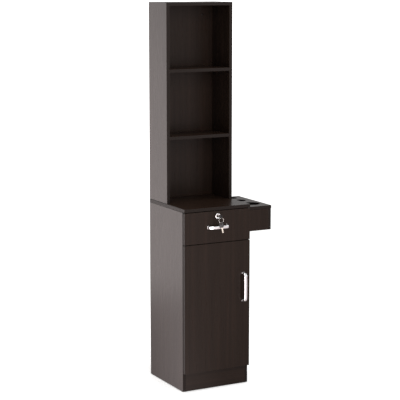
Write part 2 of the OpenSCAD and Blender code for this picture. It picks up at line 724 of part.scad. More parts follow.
module lock_plug() color(black_plastic) station() at_front(lock_x, lock_z) difference() {
    union() {
        translate([0, 0, tail_z + 0.3]) cylinder(r = plug_r, h = plug_face - tail_z - 0.3);
        translate([-tail_w / 2, -tail_w / 2, cam_z]) cube([tail_w, tail_w, cam_t + 0.3]);
    }
    translate([-key_t / 2 - 0.1, -blade_w / 2 - 0.1, plug_face + cut - keyway_d])
        cube([key_t + 0.2, blade_w + 0.2, keyway_d]);
    translate([0, 0, cam_z - cut]) cylinder(r = 1.6, h = cut + 4.5);
}
module lock_cam() color(zinc) station() at_front(lock_x, lock_z) translate([0, 0, cam_z]) difference() {
    linear_extrude(cam_t) {
        circle(r = cam_w / 2);
        translate([-cam_reach + 3, -cam_w / 2 + 2]) square([cam_reach - 3, cam_w - 4]);
        translate([-cam_reach + 3, 0]) intersection() {
            circle(r = cam_w / 2 - 2);
            translate([-3, -cam_w / 2]) square([3, cam_w]);
        }
    }
    translate([0, 0, -cut]) linear_extrude(cam_t + 2 * cut) square(tail_w + 2 * slip, center = true);
}
module cam_screw() color(zinc) station() at_front(lock_x, lock_z) {
    translate([0, 0, cam_z - 2.4]) cylinder(r1 = 4.4, r2 = 5.2, h = 2.4);
    translate([0, 0, cam_z]) cylinder(r = 1.6, h = 4);
}
keeper_t = 1.6;
keeper_y = carcass_y + 0.4;
keeper_h = 11;
keeper_w = 44;
keeper_x0 = lock_x - keeper_w / 2;
keeper_x1 = lock_x + keeper_w / 2;
module lock_keeper() color(zinc) station() difference() {
    union() {
        block([keeper_x0, keeper_y, counter_z - keeper_h], [keeper_x1, keeper_y + keeper_t, counter_z]);
        block([keeper_x0, keeper_y, counter_z - keeper_t], [keeper_x1, keeper_y + 24, counter_z]);
    }
    for (s = [-1, 1]) translate([lock_x + s * 14, keeper_y + 15, counter_z - keeper_t - cut])
        cylinder(r = 2, h = keeper_t + 2 * cut);
}

// Keys lie flat, with the shoulder at zero, the tip below it and the head above
bit_depths = [1.2, 0.6, 1.6, 0.9, 1.4];
bit_start = 4;
bit_pitch = 3;
bit_last = floor((blade_l - 3.5 - bit_start) / bit_pitch);
tang_l = 7;
module key_outline() {
    difference() {
        union() {
            translate([-blade_w / 2, -blade_l + 2.5]) square([blade_w, blade_l - 2.5]);
            translate([0, -blade_l + 2.5])
                polygon([[-blade_w / 2, 0], [-0.8, -2.5], [0.8, -2.5], [blade_w / 2, 0]]);
            translate([-4.2, 0]) square([8.4, neck_l]);
            translate([-3, 0]) square([6, neck_l + tang_l]);
        }
        for (k = [0 : bit_last]) translate([blade_w / 2, -bit_start - k * bit_pitch])
            polygon([[0.1, -1.4], [-bit_depths[k], -0.5], [-bit_depths[k], 0.5], [0.1, 1.4]]);
    }
}
module key_metal() translate([0, 0, -key_t / 2]) difference() {
    linear_extrude(key_t) key_outline();
    for (s = [0, 1]) translate([-1.6, -blade_l + 3, s ? key_t - 0.4 : -0.1]) cube([1.4, blade_l - 3, 0.5]);
}
module key_grip() difference() {
    translate([0, neck_l + head_l / 2, -head_t / 2]) linear_extrude(head_t) intersection() {
        circle(r = head_l / 2, $fn = 96);
        square([head_w, head_l], center = true);
    }
    translate([0, neck_l + head_l - hole_to_end, -head_t]) cylinder(r = key_hole_r, h = 2 * head_t);
    translate([-3 - slip, neck_l - cut, -key_t / 2 - slip / 2])
        cube([6 + 2 * slip, tang_l + cut + slip, key_t + slip]);
}
module at_lock_key() translate([lock_x, head_y0 + neck_l, lock_z]) rotate([180, -90, 0]) children();
module at_spare_key() translate([lock_x, ring_y, spare_hole_z]) rotate([90, -spare_tilt, -spare_turn])
    translate([0, hole_to_end - neck_l - head_l, 0]) children();
module key_blade() color(zinc) station() at_lock_key() key_metal();
module key_head() color(black_plastic) station() at_lock_key() key_grip();
module spare_key_blade() color(zinc) station() at_spare_key() key_metal();
module spare_key_head() color(black_plastic) station() at_spare_key() key_grip();
module key_ring() color(zinc) station() translate([lock_x, ring_y, ring_z]) rotate([90, 0, 0])
    rotate_extrude($fn = 96) translate([ring_r, 0]) circle(r = ring_wire_r);

// Door
module door_panel() color(espresso) station() difference() {
    block([front_x0, 0, door_z0], [front_x1, front_t, door_z1]);
    handle_holes(front_x1 - door_handle_in, door_handle_z, door_handle_c, true);
    at_hinges() translate([cup_x, front_t - cup_d - bore_play, 0]) rotate([-90, 0, 0])
        cylinder(r = cup_r + bore_play, h = cup_d + cut, $fn = 96);
}
module door_bumpers() color(black_plastic) station() {
    for (z = [door_z0 + 20, door_z1 - 20]) bumper(side_mid_x[1], z);
}

// Hinges: a cup in the door holds a pin, and a curved arm reaches in and turns on it
hinge_zs = [door_z0 + hinge_in, door_z1 - hinge_in];
pin_x = front_x0 + pin_in;
cup_x = front_x0 + 3 + cup_r;
cup_wall = 0.8;
knuckle_r = 2.2;
knuckle_w = 5.6;
neck_t = 2.2;
neck_angle = 110;
neck_x = pin_x - neck_r * cos(neck_angle);
neck_y = pin_deep + neck_r * sin(neck_angle);
arm_x0 = neck_x + neck_r - neck_t / 2;
arm_x1 = arm_x0 + neck_t;
arm_y0 = neck_y + 6;
arm_l = 42;
arm_body_w = 17;
module at_hinges() for (z = hinge_zs) translate([0, 0, z]) children();
module hinge_cups() color(zinc) station() at_hinges() difference() {
    translate([cup_x, front_t, 0]) rotate([-90, 0, 0]) {
        translate([0, 0, -cup_d]) difference() {
            cylinder(r = cup_r, h = cup_d, $fn = 96);
            translate([0, 0, cup_wall]) cylinder(r = cup_r - cup_wall, h = cup_d, $fn = 96);
        }
        difference() {
            linear_extrude(1.2) difference() {
                round_rect(15, 60, 4);
                for (s = [-1, 1]) translate([0, s * 24]) circle(r = 2.3);
            }
            translate([0, 0, -cut]) cylinder(r = cup_r - cup_wall, h = 3, $fn = 96);
        }
    }
    translate([pin_x, pin_deep, -cup_r]) cylinder(r = hinge_pin_r, h = 2 * cup_r);
}
pin_half = sqrt(pow(cup_r, 2) - pow(cup_x - pin_x + hinge_pin_r, 2)) - slip;
module hinge_pins() color(zinc) station() at_hinges() translate([pin_x, pin_deep, -pin_half])
    cylinder(r = hinge_pin_r, h = 2 * pin_half);
module hinge_arms() color(zinc) station() at_hinges() difference() {
    union() {
        translate([pin_x, pin_deep, -knuckle_w / 2]) cylinder(r = knuckle_r, h = knuckle_w);
        translate([neck_x, neck_y, 0]) mirror([0, 1, 0]) rotate_extrude(angle = neck_angle, $fn = 96)
            translate([neck_r - neck_t / 2, -arm_w / 2]) square([neck_t, arm_w]);
        block([arm_x0, neck_y, -arm_w / 2], [arm_x1, arm_y0 + cut, arm_w / 2]);
        block([arm_x0, arm_y0, -arm_body_w / 2], [arm_x1, arm_y0 + arm_l, arm_body_w / 2]);
        for (s = [0, 1]) mirror([0, 0, s])
            block([arm_x0 - 5, arm_y0, arm_body_w / 2 - 1.4], [arm_x0 + cut, arm_y0 + arm_l, arm_body_w / 2]);
    }
    translate([pin_x, pin_deep, -arm_w]) cylinder(r = hinge_pin_r + slip, h = 2 * arm_w);
    for (y = [12, 28]) translate([arm_x0 - cut, arm_y0 + y, 0]) rotate([0, 90, 0])
        cylinder(r = 2.5, h = neck_t + 2 * cut);
}
module hinge_plates() color(zinc) station() at_hinges() difference() {
    union() {
        translate([in_x0, arm_y0 + 20, 0]) rotate([90, 0, 90]) linear_extrude(2) round_rect(18, 50, 5);
        block([in_x0, arm_y0 + 3, -6.5], [arm_x0, arm_y0 + arm_l - 3, 6.5]);
    }
    for (s = [-1, 1]) translate([in_x0 - cut, arm_y0 + 20, s * 16]) rotate([0, 90, 0])
        cylinder(r = 2.3, h = 2 + 2 * cut);
}

// Magnetic catch under the rail, and its plate on the door
catch_x = in_x1 - 24 - catch_l / 2;
catch_x0 = catch_x - catch_l / 2;
catch_x1 = catch_x + catch_l / 2;
catch_y = front_t + 1.2 + touch;
catch_h = 13;
module magnetic_catch() color(black_plastic) station() difference() {
    union() {
        block([catch_x0 + 7, catch_y, rail_z - catch_h], [catch_x1 - 7, catch_y + 15, rail_z]);
        block([catch_x0, carcass_y + 2, rail_z - 2.5], [catch_x1, catch_y + 15, rail_z]);
    }
    for (s = [-1, 1]) translate([catch_x + s * (catch_l / 2 - 3.5), carcass_y + 8, rail_z - 2.5 - cut])
        cylinder(r = 1.8, h = 2.5 + 2 * cut);
}
module catch_plate() color(zinc) station() difference() {
    block([catch_x - 19, front_t, rail_z - catch_h], [catch_x + 19, front_t + 1.2, rail_z - 1]);
    translate([catch_x, front_t - cut, rail_z - catch_h / 2 - 0.5]) rotate([-90, 0, 0])
        cylinder(r = 2, h = 1.2 + 2 * cut);
}

floor_glides();
base_left_panel();
base_right_panel();
base_bottom_panel();
plinth_board();
base_back_panel();
divider_rail();
base_rear_rail();
cabinet_shelf();
shelf_pins();
countertop();
tower_left_panel();
tower_right_panel();
tower_top_panel();
tower_upper_shelf();
tower_lower_shelf();
tower_back_panel();
holder_top();
holder_front();
holder_back();
holder_outer_side();
cam_discs();
cam_bolts();
wood_dowels();
lock_keeper();
magnetic_catch();
cabinet_runners();
cabinet_rollers();
hinge_plates();
hinge_arms();
drawer_front();
drawer_left_side();
drawer_right_side();
drawer_back_board();
drawer_bottom();
drawer_dowels();
drawer_runners();
drawer_rollers();
drawer_handle();
drawer_handle_screws();
drawer_bumpers();
lock_housing();
lock_nut();
lock_plug();
lock_cam();
cam_screw();
key_blade();
key_head();
key_ring();
spare_key_blade();
spare_key_head();
door_panel();
door_handle();
door_handle_screws();
door_bumpers();
hinge_cups();
hinge_pins();
catch_plate();
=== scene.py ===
import math

import bmesh
import bpy
from mathutils import Matrix, Vector


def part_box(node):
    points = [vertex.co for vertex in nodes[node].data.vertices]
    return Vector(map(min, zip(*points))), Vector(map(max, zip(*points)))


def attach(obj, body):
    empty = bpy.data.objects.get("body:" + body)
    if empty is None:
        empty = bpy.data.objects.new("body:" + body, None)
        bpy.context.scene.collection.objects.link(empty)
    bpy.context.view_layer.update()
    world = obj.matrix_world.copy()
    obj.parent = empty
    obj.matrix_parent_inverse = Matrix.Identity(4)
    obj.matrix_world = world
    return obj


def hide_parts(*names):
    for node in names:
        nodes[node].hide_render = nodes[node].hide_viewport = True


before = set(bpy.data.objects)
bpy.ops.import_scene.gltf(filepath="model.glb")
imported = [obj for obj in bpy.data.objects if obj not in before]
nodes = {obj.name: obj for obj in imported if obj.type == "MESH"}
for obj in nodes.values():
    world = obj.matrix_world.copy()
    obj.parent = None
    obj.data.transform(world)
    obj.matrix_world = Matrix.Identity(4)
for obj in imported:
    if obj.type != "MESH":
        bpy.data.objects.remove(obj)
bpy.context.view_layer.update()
mm = 0.001
print("frame loaded:", len(nodes), "nodes")

# in metres: how near two points are to be one, in the frame's meshes and in shapes made here
weldDistance = 2e-6
closeWeld = 1e-6
onPlane = 1e-5  # how near a point is to a plane to lie on it
flatAngle = math.radians(1)  # faces within it are one flat


def hexToLinear(code):
    parts = [int(code[i:i + 2], 16) / 255 for i in (1, 3, 5)]
    return [c / 12.92 if c <= 0.04045 else ((c + 0.055) / 1.055) ** 2.4 for c in parts] + [1.0]


def addNode(tree, kind, settings=None, links=None):
    made = tree.nodes.new(kind)
    for name, value in (settings or {}).items():
        if name == "Stops":  # a ramp's colours with their positions, from dark to light
            ends = made.color_ramp.elements
            ends[0].position, ends[0].color = value[0][0], hexToLinear(value[0][1])
            ends[1].position, ends[1].color = value[-1][0], hexToLinear(value[-1][1])
            for position, code in value[1:-1]:
                ends.new(position).color = hexToLinear(code)
        elif isinstance(name, str) and hasattr(made, name):
            setattr(made, name, value)
        else:
            made.inputs[name].default_value = value
    for name, source in (links or {}).items():
        tree.links.new(source, made.inputs[name])
    return made


def newMaterial(name):
    material = bpy.data.materials.new(name)
    material.use_nodes = True
    tree = material.node_tree
    for old in list(tree.nodes):
        tree.nodes.remove(old)
    return material, tree


def objectFromMesh(name, mesh, materials):
    made = bpy.data.objects.new(name, mesh)
    bpy.context.scene.collection.objects.link(made)
    for material in materials:
        mesh.materials.append(material)
    return made


def smoothByAngle(mesh, degrees):
    for face in mesh.polygons:
        face.use_smooth = True
    mesh.set_sharp_from_angle(angle=math.radians(degrees))


def meshFrom(work, name, smoothAngle):
    mesh = bpy.data.meshes.new(name)
    work.to_mesh(mesh)
    work.free()
    smoothByAngle(mesh, smoothAngle)
    return mesh


def bridged(work, loops, capped=True):
    # joins loops of points into a tube, and closes its ends
    count = len(loops[0])
    for a, b in zip(loops, loops[1:]):
        for k in range(count):
            n = (k + 1) % count
            work.faces.new((a[k], a[n], b[n], b[k]))
    if capped:
        work.faces.new(loops[0])
        work.faces.new(list(reversed(loops[-1])))


def welded(node):
    # a copy of a frame node's mesh as one shell with whole flats
    work = bmesh.new()
    work.from_mesh(nodes[node].data)
    bmesh.ops.remove_doubles(work, verts=work.verts, dist=weldDistance)
    bmesh.ops.dissolve_limit(work, angle_limit=flatAngle, verts=work.verts, edges=work.edges)
    return work


def boxCorners(node):
    low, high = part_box(node)
    return Vector(low), Vector(high)


# finishes: most of a noise's values lie within noiseRange, so ramps and gloss run over that

noiseRange = (0.3, 0.7)

melamine = {
    "colours": [(0.32, "#190f0a"), (0.5, "#1f150f"), (0.68, "#281b15")],
    "poreWidth": 1.6,  # mm across the grain
    "poreLength": 70,  # mm along it
    "poreDetail": 4.0,
    "bandWidth": 22,  # mm, wide enough to show in the render
    "bandLength": 900,
    "bandDetail": 6.0,
    "bandShare": 0.62,  # of the colour, and the pores give the rest
    "roughness": (0.37, 0.25),  # in the pores and between them
    "ior": 1.26,  # resin has 1.54, but the pressed pores take away part of its shine
    "emboss": 0.05,  # mm, depth of the pressed pores
    "bump": 0.5,
    "noiseRoughness": 0.6,
}
grain = {"detail": 3.0, "noiseRoughness": 0.55, "bump": 0.4}  # for all the finishes below it


def melamineMaterial(name, along):
    # printed wood grain under resin, pressed on an embossed plate: dark, even, satin sheen
    material, tree = newMaterial(name)
    place = addNode(tree, "ShaderNodeTexCoord").outputs["Object"]

    def stretched(width, length, detail):
        scale = [1000 / width] * 3
        scale["xyz".index(along)] = 1000 / length
        mapping = addNode(tree, "ShaderNodeMapping", {"Scale": scale}, {"Vector": place})
        return addNode(tree, "ShaderNodeTexNoise",
                       {"Scale": 1.0, "Detail": detail, "Roughness": melamine["noiseRoughness"]},
                       {"Vector": mapping.outputs["Vector"]})

    pores = stretched(melamine["poreWidth"], melamine["poreLength"], melamine["poreDetail"])
    bands = stretched(melamine["bandWidth"], melamine["bandLength"], melamine["bandDetail"])
    blend = addNode(tree, "ShaderNodeMix", {"data_type": "FLOAT", "Factor": melamine["bandShare"]},
                    {"A": pores.outputs["Fac"], "B": bands.outputs["Fac"]})
    colour = addNode(tree, "ShaderNodeValToRGB", {"Stops": melamine["colours"]},
                     {"Fac": blend.outputs["Result"]})
    gloss = addNode(tree, "ShaderNodeMapRange",
                    {"From Min": noiseRange[0], "From Max": noiseRange[1],
                     "To Min": melamine["roughness"][0], "To Max": melamine["roughness"][1]},
                    {"Value": pores.outputs["Fac"]})
    bump = addNode(tree, "ShaderNodeBump",
                   {"Strength": melamine["bump"], "Distance": melamine["emboss"] * mm},
                   {"Height": pores.outputs["Fac"]})
    shader = addNode(tree, "ShaderNodeBsdfPrincipled", {"IOR": melamine["ior"]},
                     {"Base Color": colour.outputs["Color"], "Roughness": gloss.outputs["Result"],
                      "Normal": bump.outputs["Normal"]})
    addNode(tree, "ShaderNodeOutputMaterial", links={"Surface": shader.outputs[0]})
    return material


def grainedMaterial(name, shades, size, roughness, emboss, metallic=0.0, ior=1.5):
    # a surface whose only pattern is an even fine grain, such as coated steel or moulded plastic
    material, tree = newMaterial(name)
    place = addNode(tree, "ShaderNodeTexCoord").outputs["Object"]
    noise = addNode(tree, "ShaderNodeTexNoise",
                    {"Scale": 1000 / size, "Detail": grain["detail"],
                     "Roughness": grain["noiseRoughness"]}, {"Vector": place})
    start, end = noiseRange
    step = (end - start) / (len(shades) - 1)
    stops = [(start + step * k, shade) for k, shade in enumerate(shades)]
    colour = addNode(tree, "ShaderNodeValToRGB", {"Stops": stops}, {"Fac": noise.outputs["Fac"]})
    gloss = addNode(tree, "ShaderNodeMapRange",
                    {"From Min": start, "From Max": end,
                     "To Min": roughness[0], "To Max": roughness[1]},
                    {"Value": noise.outputs["Fac"]})
    bump = addNode(tree, "ShaderNodeBump", {"Strength": grain["bump"], "Distance": emboss * mm},
                   {"Height": noise.outputs["Fac"]})
    settings = {"Metallic": metallic} if metallic else {"IOR": ior}
    shader = addNode(tree, "ShaderNodeBsdfPrincipled", settings,
                     {"Base Color": colour.outputs["Color"], "Roughness": gloss.outputs["Result"],
                      "Normal": bump.outputs["Normal"]})
    addNode(tree, "ShaderNodeOutputMaterial", links={"Surface": shader.outputs[0]})
    return material


# shades from dark to light, size of the grain and depth of its emboss in mm, roughness in the dark
# and in the light shade; a real grain too fine to show is drawn as coarse as it needs to show
grainedFinishes = {
    # moulded ABS strip, scraped flush: a little darker than the boards, duller and without wood grain
    "edgeBandAbs": {"shades": ("#130d0a", "#1b130f"), "size": 2.5, "roughness": (0.55, 0.47),
                    "emboss": 0.01, "ior": 1.24},
    # pressed wood fibre: dull mid brown with a coarse mottle
    "hardboard": {"shades": ("#3d2c20", "#4e3a2b", "#5f4a38"), "size": 1.8,
                  "roughness": (0.72, 0.6), "emboss": 0.04},
    # chrome plate on polished zinc: bright, with slightly soft reflections
    "polishedChrome": {"shades": ("#ecedef", "#f6f6f7"), "size": 9, "roughness": (0.18, 0.24),
                       "emboss": 0.002, "metallic": 1.0},
    # barrel zinc plating on stamped steel: cool grey with uneven sheen
    "zincPlatedSteel": {"shades": ("#9ea2a8", "#c3c6ca"), "size": 2.2, "roughness": (0.38, 0.24),
                        "emboss": 0.01, "metallic": 1.0},
    # nickel plate on milled brass, handled daily: warm grey, half dull
    "nickelPlatedBrass": {"shades": ("#8f8c84", "#aaa79e"), "size": 1.2, "roughness": (0.34, 0.24),
                          "emboss": 0.006, "metallic": 1.0},
    # nickel plate on spring wire: light and shiny
    "brightNickel": {"shades": ("#dcdad4", "#eceae5"), "size": 1.2, "roughness": (0.3, 0.18),
                     "emboss": 0.006, "metallic": 1.0},
    # baked powder coat: off-white with a slight orange peel
    "powderCoatedSteel": {"shades": ("#d9d9d4", "#e8e8e4"), "size": 0.9, "roughness": (0.45, 0.35),
                          "emboss": 0.03},
    # moulded nylon: milky white and waxy
    "mouldedNylon": {"shades": ("#dddcd6", "#ecebe6"), "size": 1.4, "roughness": (0.5, 0.4),
                     "emboss": 0.02},
    # painted shade: the chamfers of the open joint are coloured near black for the shade in the
    # joint's gap, a dull line darker than the boards
    "paintedJointShade": {"shades": ("#0a0807", "#120e0c"), "size": 1.4, "roughness": (0.9, 0.8),
                         "emboss": 0.05, "ior": 1.2},
    # painted shade: the walls of the tool holes are coloured near black for the shade inside the
    # holder, almost no light comes back
    "paintedBoreShade": {"shades": ("#060505", "#0b0908"), "size": 1.4, "roughness": (0.9, 0.8),
                         "emboss": 0.05, "ior": 1.15},
    # moulded ABS with a fine spark-eroded grain: soft black
    "blackAbs": {"shades": ("#131315", "#1e1e21"), "size": 0.6, "roughness": (0.5, 0.38),
                 "emboss": 0.02},
    # chemically blackened zinc casting: dark metal with a dim gloss
    "blackenedZinc": {"shades": ("#1d1d20", "#323237"), "size": 1.0, "roughness": (0.4, 0.3),
                      "emboss": 0.01, "metallic": 1.0},
    # cast rubber: flat mid grey, no shine
    "greyRubber": {"shades": ("#6c6c6c", "#7e7e7e"), "size": 0.7, "roughness": (0.85, 0.75),
                   "emboss": 0.02},
    # turned beech, unfinished: pale and dry
    "beech": {"shades": ("#b98f5f", "#d8b383"), "size": 1.5, "roughness": (0.7, 0.6),
              "emboss": 0.05},
}

finishes = {
    "uprightGrainMelamine": melamineMaterial("uprightGrainMelamine", "z"),
    "levelGrainMelamine": melamineMaterial("levelGrainMelamine", "x"),
    "deepGrainMelamine": melamineMaterial("deepGrainMelamine", "y"),
}
for name, look in grainedFinishes.items():
    finishes[name] = grainedMaterial(name, **look)
print("finishes made:", len(finishes))


# boards: the frame's boards with softened edges and an edge band

boards = {
    "softening": 0.8,  # mm, radius of the scraped edge band
    "softeningSteps": 2,
    "jointSoftening": 1.8,  # mm, where a joint shows as a dark line of painted shade
    "openJoints": {"tower_left_panel": "bottom", "countertop": "top", "base_left_panel": "top"},
    "bored": "holder_top",  # the walls of its tool holes get painted shade, near black
    "smoothAngle": 25,  # degrees
    "flatNormal": 0.9999,  # a face that points along an axis at least this much is a flat
    "sideReach": 0.1,  # mm, how near a face lies to the side that it belongs to
    "jointReach": 2,  # mm, how near a face lies to the joint that it belongs to
    "uprightGrainMelamine": {
        "station": ["base_left_panel", "base_right_panel", "base_rear_rail", "tower_left_panel",
                    "tower_right_panel", "tower_back_panel", "holder_front", "holder_back",
                    "holder_outer_side"],
        "drawer": ["drawer_front"],
        "door": ["door_panel"],
    },
    "levelGrainMelamine": {
        "station": ["base_bottom_panel", "plinth_board", "divider_rail", "cabinet_shelf",
                    "countertop", "tower_top_panel", "tower_upper_shelf", "tower_lower_shelf"],
        "drawer": ["drawer_back_board"],
    },
    "deepGrainMelamine": {
        "station": ["holder_top"],
        "drawer": ["drawer_left_side", "drawer_right_side"],
    },
}


def softenedBoard(node, body, materials):
    low, high = boxCorners(node)
    work = welded(node)

    def outerPlanes(edge):
        # the sides of the board's box that the whole edge lies on
        return {(axis, side) for axis in range(3) for side, limit in enumerate((low, high))
                if all(abs(end.co[axis] - limit[axis]) < onPlane for end in edge.verts)}

    def soften(edges, width, steps):
        return bmesh.ops.bevel(work, geom=edges, offset=width * mm, segments=steps, profile=0.5,
                               affect="EDGES", clamp_overlap=True)["faces"]

    jointSpots = []
    if node in boards["openJoints"]:  # the line where two boards meet gets painted shade on the left side
        joint = {(0, 0), (2, 1 if boards["openJoints"][node] == "top" else 0)}
        line = [e for e in work.edges if joint <= outerPlanes(e)]
        cut = soften(line, boards["jointSoftening"], 1)
        jointSpots = [f.calc_center_median().copy() for f in cut]
    soften([e for e in work.edges if len(outerPlanes(e)) >= 2], boards["softening"],
           boards["softeningSteps"])
    bmesh.ops.triangulate(work, faces=[f for f in work.faces if len(f.verts) > 4])
    thin = min(range(3), key=lambda axis: high[axis] - low[axis])
    # slot 0 is for the board's faces, 1 for banded edges, 2 for painted shade in bores or open joints
    for f in work.faces:
        axis = max(range(3), key=lambda k: abs(f.normal[k]))
        centre = f.calc_center_median()
        inset = min(abs(centre[axis] - low[axis]), abs(centre[axis] - high[axis]))
        outside = inset < boards["sideReach"] * mm
        f.material_index = 1 if axis != thin and outside else 0
        # the tool holes' walls take the painted shade
        if node == boards["bored"] and axis != thin and not outside:
            f.material_index = 2
        # the open joint's chamfers take the painted shade
        if any((centre - spot).length < boards["jointReach"] * mm for spot in jointSpots):
            f.material_index = 2
    mesh = meshFrom(work, node + "Board", boards["smoothAngle"])
    for face in mesh.polygons:  # the boards' flats stay flat up to their softened edges
        if max(abs(part) for part in face.normal) > boards["flatNormal"]:
            face.use_smooth = False
    piece = objectFromMesh(node + "Board", mesh, materials)
    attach(piece, body)
    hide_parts(node)


for finish in ("uprightGrainMelamine", "levelGrainMelamine", "deepGrainMelamine"):
    for body, names in boards[finish].items():
        for name in names:
            materials = [finishes[finish], finishes["edgeBandAbs"]]
            # bored holes and open joints get a third slot, of painted shade
            if name == boards["bored"]:
                materials.append(finishes["paintedBoreShade"])
            elif name in boards["openJoints"]:
                materials.append(finishes["paintedJointShade"])
            softenedBoard(name, body, materials)
print("boards softened")


# frame nodes that only need a finish

nodeFinishes = {
    "hardboard": ["base_back_panel", "drawer_bottom"],
    "zincPlatedSteel": ["shelf_pins", "cam_discs", "cam_bolts", "lock_keeper", "hinge_plates",
                        "hinge_arms", "hinge_cups", "hinge_pins", "drawer_handle_screws",
                        "door_handle_screws", "lock_nut", "lock_cam", "cam_screw", "catch_plate"],
    "nickelPlatedBrass": ["key_blade", "spare_key_blade"],
    "powderCoatedSteel": ["cabinet_runners", "drawer_runners"],
    "mouldedNylon": ["cabinet_rollers", "drawer_rollers"],
    "blackAbs": ["magnetic_catch", "floor_glides"],
    "blackenedZinc": ["lock_plug"],
    "greyRubber": ["drawer_bumpers", "door_bumpers"],
    "beech": ["wood_dowels", "drawer_dowels"],
}
for finish, names in nodeFinishes.items():
    for name in names:
        mesh = nodes[name].data
        mesh.materials.clear()
        mesh.materials.append(finishes[finish])
print("frame nodes finished")


# bow handles: one swept bar with rounded section, on two feet

handle = {
    "width": 14,  # this and the lengths below in mm
    "thickness": 8,
    "corner": 3.2,
    "cornerSteps": 5,
    "reach": 26,
    "bendRadius": 15,
    "bendSteps": 16,
    "bow": 2,  # degrees at each half
    "barSteps": 24,
    "footLength": 9,
    "footWidth": 15,
    "footRim": [(0, 0), (1.1, 0), (1.38, 0.12), (1.5, 0.4)],  # off the front, inside the outline
    "drawerSpacing": 96,  # between the screws
    "doorSpacing": 128,
    "smoothAngle": 40,  # degrees
}


def roundedSection(width, thickness, corner, steps):
    points = []
    for quarter, (sx, sy) in enumerate([(1, 1), (-1, 1), (-1, -1), (1, -1)]):
        for k in range(steps + 1):
            angle = math.radians(90 * quarter + 90 * k / steps)
            points.append((sx * (width / 2 - corner) + corner * math.cos(angle),
                           sy * (thickness / 2 - corner) + corner * math.sin(angle)))
    return points


def bowPath(spacing):
    # points of the bar's middle line with its heading in degrees: post, bend, bar, bend, post
    reach, radius = handle["reach"] - handle["thickness"] / 2, handle["bendRadius"]
    bend, bow = math.radians(90 - handle["bow"]), math.radians(handle["bow"])
    barRadius = (spacing / 2 - radius * (1 - math.cos(bend))) / math.sin(bow)
    post = reach - radius * math.sin(bend) - barRadius * (1 - math.cos(bow))
    half = [(spacing / 2, 0, 90)]
    for k in range(handle["bendSteps"] + 1):
        angle = bend * k / handle["bendSteps"]
        half.append((spacing / 2 - radius * (1 - math.cos(angle)), post + radius * math.sin(angle),
                     90 + math.degrees(angle)))
    bar = []
    for k in range(1, handle["barSteps"]):
        angle = bend + 2 * bow * k / handle["barSteps"]
        bar.append((barRadius * math.cos(angle), reach - barRadius + barRadius * math.sin(angle),
                    90 + math.degrees(angle)))
    return half + bar + [(-x, y, 360 - heading) for x, y, heading in reversed(half)]


def bowHandle(name, spacing, place, body, node):
    # place takes the handle's own axes to the frame: along the bar, out of the front, across it
    work = bmesh.new()
    section = roundedSection(handle["width"], handle["thickness"], handle["corner"],
                             handle["cornerSteps"])
    loops = []
    for x, y, heading in bowPath(spacing):
        ahead = math.radians(heading)
        side = Vector((math.sin(ahead), -math.cos(ahead), 0))
        loops.append([work.verts.new(Vector((x, y, 0)) * mm + (side * v + Vector((0, 0, u))) * mm)
                      for u, v in section])
    bridged(work, loops)
    for side in (-1, 1):  # rounded feet
        loops = []
        for height, inset in handle["footRim"]:
            foot = roundedSection(handle["footLength"] - 2 * inset, handle["footWidth"] - 2 * inset,
                                  handle["corner"] - inset, handle["cornerSteps"])
            loops.append([work.verts.new(Vector((side * spacing / 2 + u, height, v)) * mm)
                          for u, v in foot])
        bridged(work, loops)
    bmesh.ops.remove_doubles(work, verts=work.verts, dist=closeWeld)
    work.transform(place)
    bmesh.ops.recalc_face_normals(work, faces=work.faces)
    mesh = meshFrom(work, name, handle["smoothAngle"])
    piece = objectFromMesh(name, mesh, [finishes["polishedChrome"]])
    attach(piece, body)
    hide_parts(node)


low, high = boxCorners("drawer_handle")
frontFace = high.y  # the handles stand on the plane of the drawer's and the door's faces
middle = (low + high) / 2
bowHandle("drawerBowHandle", handle["drawerSpacing"],
          Matrix(((1, 0, 0, middle.x), (0, -1, 0, frontFace), (0, 0, 1, middle.z), (0, 0, 0, 1))),
          "drawer", "drawer_handle")
low, high = boxCorners("door_handle")
middle = (low + high) / 2
bowHandle("doorBowHandle", handle["doorSpacing"],
          Matrix(((0, 0, 1, middle.x), (0, -1, 0, frontFace), (1, 0, 0, middle.z), (0, 0, 0, 1))),
          "door", "door_handle")
print("handles swept")


# turned pieces: the lock's housing with its bezel, and caps over the open tower's wall screws

turnedSmoothAngle = 35  # degrees

lockHousing = {
    "boreRadius": 6.35,  # lengths in mm
    "bodyRadius": 9.5,
    "bodyLength": 20,
    "threadPitch": 1.5,
    "threadDepth": 0.5,
    # radius and mm out of the front, from the bezel's rim over its crown to the plug
    "bezel": [(12.3, 0), (12.5, 0.3), (12.5, 1.7), (12.35, 2.3), (11.9, 2.85), (11.2, 3.2),
              (9.9, 3.2), (9.1, 2.95), (7.25, 2.3), (6.35, 2.0)],
    "segments": 96,
}


def turned(name, profile, segments, axisPoint, finish):
    # profile holds (radius, distance out of the front) in mm, closed round the wall
    work = bmesh.new()
    rings = []
    for k in range(segments):
        angle = 2 * math.pi * k / segments
        around = Vector((math.cos(angle), 0, math.sin(angle)))
        rings.append([work.verts.new(axisPoint + (around * r + Vector((0, -out, 0))) * mm)
                      for r, out in profile])
    bridged(work, rings + rings[:1], capped=False)
    bmesh.ops.remove_doubles(work, verts=work.verts, dist=closeWeld)
    bmesh.ops.recalc_face_normals(work, faces=work.faces)
    return objectFromMesh(name, meshFrom(work, name, turnedSmoothAngle), [finish])


low, high = boxCorners("lock_housing")
lockCentre = Vector(((low.x + high.x) / 2, frontFace, (low.z + high.z) / 2))
length, pitch = lockHousing["bodyLength"], lockHousing["threadPitch"]
crest, root = lockHousing["bodyRadius"], lockHousing["bodyRadius"] - lockHousing["threadDepth"]
profile = [(lockHousing["boreRadius"], -length)]
for k in range(int(length / pitch)):  # rolled thread, drawn as rings
    profile += [(root, k * pitch - length), (crest, k * pitch - length + pitch / 2)]
profile += [(root, 0)] + lockHousing["bezel"]
piece = turned("lockHousing", profile, lockHousing["segments"], lockCentre,
               finishes["polishedChrome"])
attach(piece, "drawer")
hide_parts("lock_housing")


